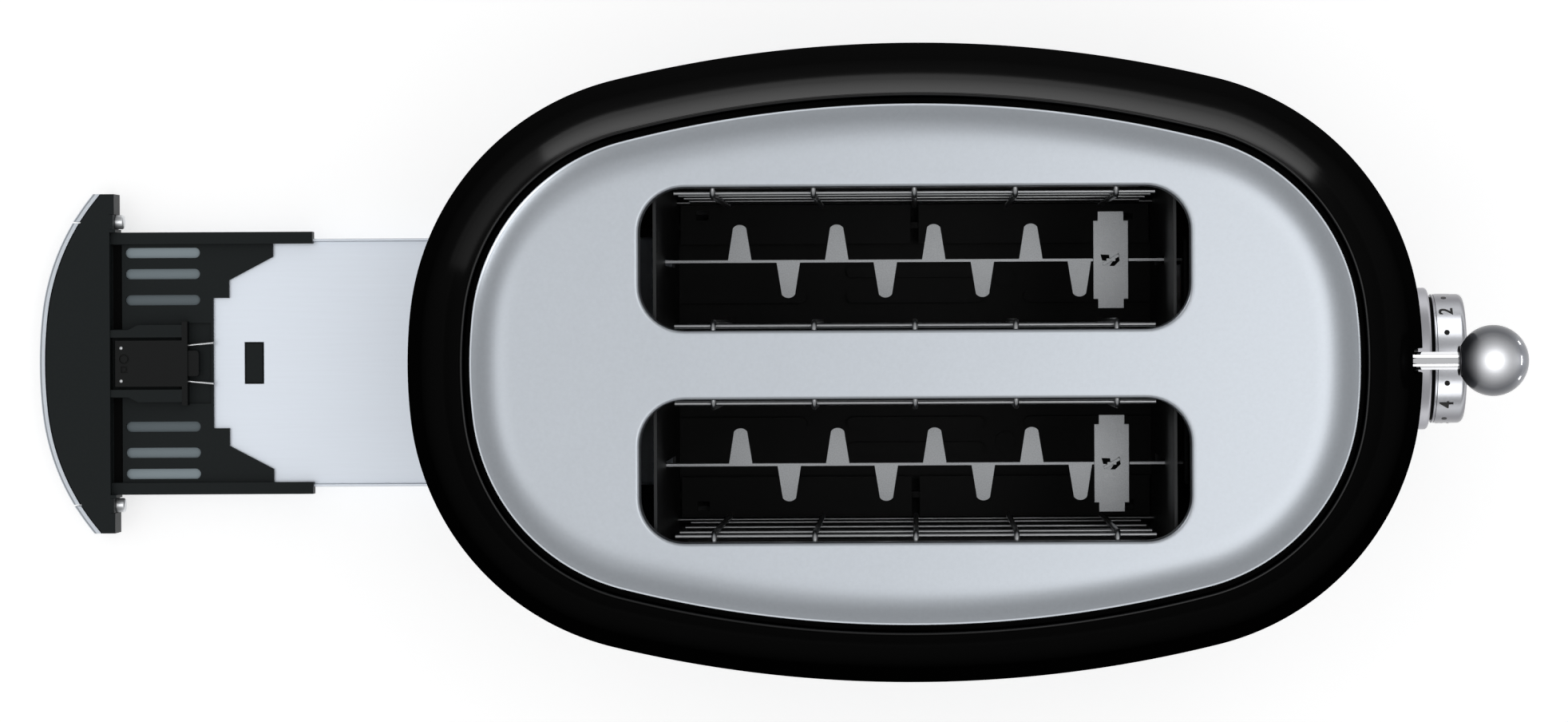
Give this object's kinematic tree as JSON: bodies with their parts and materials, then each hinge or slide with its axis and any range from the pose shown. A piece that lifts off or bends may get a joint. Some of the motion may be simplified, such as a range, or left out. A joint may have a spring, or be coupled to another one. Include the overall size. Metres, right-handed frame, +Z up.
{
  "type": "toaster",
  "caption": "Pop-up toaster with a bulging oval body, satin top plate, hinged bread guides, sprung lift with ball lever, browning dial, push buttons and a slide-out crumb tray.",
  "frame": {"origin": "on the ground, under the middle of the whole length and width with the tray drawn out as pictured", "axes": "+Z up, +X towards the lever and dial, -X towards the crumb tray"},
  "size_m": [0.4636, 0.196, 0.196],
  "materials": {
    "gloss_black": "gloss",
    "satin_steel": "satin",
    "chrome": "polished",
    "black_plastic": "matte",
    "rubber": "matte",
    "zinc_steel": "satin",
    "cream_plastic": "matte",
    "galvanised": "satin",
    "bright_sheet": "satin",
    "dark_steel": "satin",
    "copper": "satin",
    "board_brown": "matte",
    "dial_silver": "satin",
    "tray_steel": "satin",
    "tray_black": "matte",
    "bright_screw": "polished",
    "rack_steel": "grainy",
    "wire_steel": "satin",
    "mica": "matte",
    "ribbon": "satin"
  },
  "bodies": {
    "housing": {"outer_shell": "gloss_black", "top_plate": "satin_steel", "base_ring": "chrome", "base_plate": "black_plastic", "foot_front_left": "rubber", "foot_front_right": "rubber", "foot_rear_left": "rubber", "foot_rear_right": "rubber", "base_screws": "zinc_steel", "cord_gland": "black_plastic", "terminal_block": "cream_plastic", "front_frame": "galvanised", "rear_frame": "galvanised", "reflector_left": "bright_sheet", "reflector_right": "bright_sheet", "guide_rod": "zinc_steel", "lift_spring": "zinc_steel", "magnet_core": "zinc_steel", "magnet_coil": "copper", "control_board": "board_brown", "potentiometer": "cream_plastic", "dial_bezel": "dial_silver", "button_guide": "black_plastic", "latch_strike": "galvanised", "heater_board_left_outer": "mica", "heater_winding_left_outer": "ribbon", "heater_board_left_inner": "mica", "heater_winding_left_inner": "ribbon", "heater_board_right_outer": "mica", "heater_winding_right_outer": "ribbon", "heater_board_right_inner": "mica", "heater_winding_right_inner": "ribbon"},
    "lift": {"carriage": "galvanised", "rack_left": "rack_steel", "rack_right": "rack_steel", "cross_plate_left": "rack_steel", "cross_plate_right": "rack_steel", "lever_rod": "chrome", "lever_collar": "dark_steel", "ball_knob": "chrome", "armature_plate": "zinc_steel"},
    "dial": {"dial_knob": "dial_silver", "pot_shaft": "zinc_steel"},
    "stop": {"stop_button": "dial_silver"},
    "reheat": {"reheat_button": "dial_silver"},
    "defrost": {"defrost_button": "dial_silver"},
    "tray": {"tray_sheet": "tray_steel", "tray_carrier": "tray_black", "tray_trim": "chrome", "tray_screws": "bright_screw", "latch_case": "tray_black", "latch_prongs": "dark_steel"},
    "catch": {"latch_catch": "tray_black"},
    "guide_left_outer": {"guide_left_outer": "wire_steel"},
    "guide_left_inner": {"guide_left_inner": "wire_steel"},
    "guide_right_inner": {"guide_right_inner": "wire_steel"},
    "guide_right_outer": {"guide_right_outer": "wire_steel"}
  },
  "joints": [
    {"name": "carriage_slide", "type": "slide", "parent": "housing", "child": "lift", "axis": [0, 0, 1], "range_m": [-0.057, 0], "stiffness_N_per_m": 80, "springref_m": 0.045, "deforming": ["lift_spring"]},
    {"name": "tray_slide", "type": "slide", "parent": "housing", "child": "tray", "axis": [1, 0, 0], "range_m": [-0.03, 0.13571]},
    {"name": "dial_turn", "type": "hinge", "parent": "housing", "child": "dial", "pos_m": [0.21555, 0, 0.066], "axis": [1, 0, 0], "range_deg": [-138, 92]},
    {"name": "latch_slide", "type": "slide", "parent": "tray", "child": "catch", "axis": [-1, 0, 0], "range_m": [0, 0.0025], "stiffness_N_per_m": 300, "springref_m": -0.001},
    {"name": "stop_press", "type": "slide", "parent": "housing", "child": "stop", "axis": [-1, 0, 0], "range_m": [0, 0.0015], "stiffness_N_per_m": 400, "springref_m": -0.001},
    {"name": "reheat_press", "type": "slide", "parent": "housing", "child": "reheat", "axis": [-1, 0, 0], "range_m": [0, 0.0015], "stiffness_N_per_m": 400, "springref_m": -0.001},
    {"name": "defrost_press", "type": "slide", "parent": "housing", "child": "defrost", "axis": [-1, 0, 0], "range_m": [0, 0.0015], "stiffness_N_per_m": 400, "springref_m": -0.001},
    {"name": "guide_left_outer_tilt", "type": "hinge", "parent": "housing", "child": "guide_left_outer", "pos_m": [0.04955, 0.0504, 0.036], "axis": [1, 0, 0], "range_deg": [0, 5]},
    {"name": "guide_left_inner_tilt", "type": "hinge", "parent": "housing", "child": "guide_left_inner", "pos_m": [0.04955, 0.0112, 0.036], "axis": [1, 0, 0], "range_deg": [-5, 0]},
    {"name": "guide_right_inner_tilt", "type": "hinge", "parent": "housing", "child": "guide_right_inner", "pos_m": [0.04955, -0.0112, 0.036], "axis": [1, 0, 0], "range_deg": [0, 5]},
    {"name": "guide_right_outer_tilt", "type": "hinge", "parent": "housing", "child": "guide_right_outer", "pos_m": [0.04955, -0.0504, 0.036], "axis": [1, 0, 0], "range_deg": [-5, 0]}
  ],
  "couplings": [
    {"joint": "guide_left_outer_tilt", "follows": "carriage_slide", "rad_per_m": -1.45},
    {"joint": "guide_left_inner_tilt", "follows": "carriage_slide", "rad_per_m": 1.45},
    {"joint": "guide_right_inner_tilt", "follows": "carriage_slide", "rad_per_m": -1.45},
    {"joint": "guide_right_outer_tilt", "follows": "carriage_slide", "rad_per_m": 1.45}
  ]
}
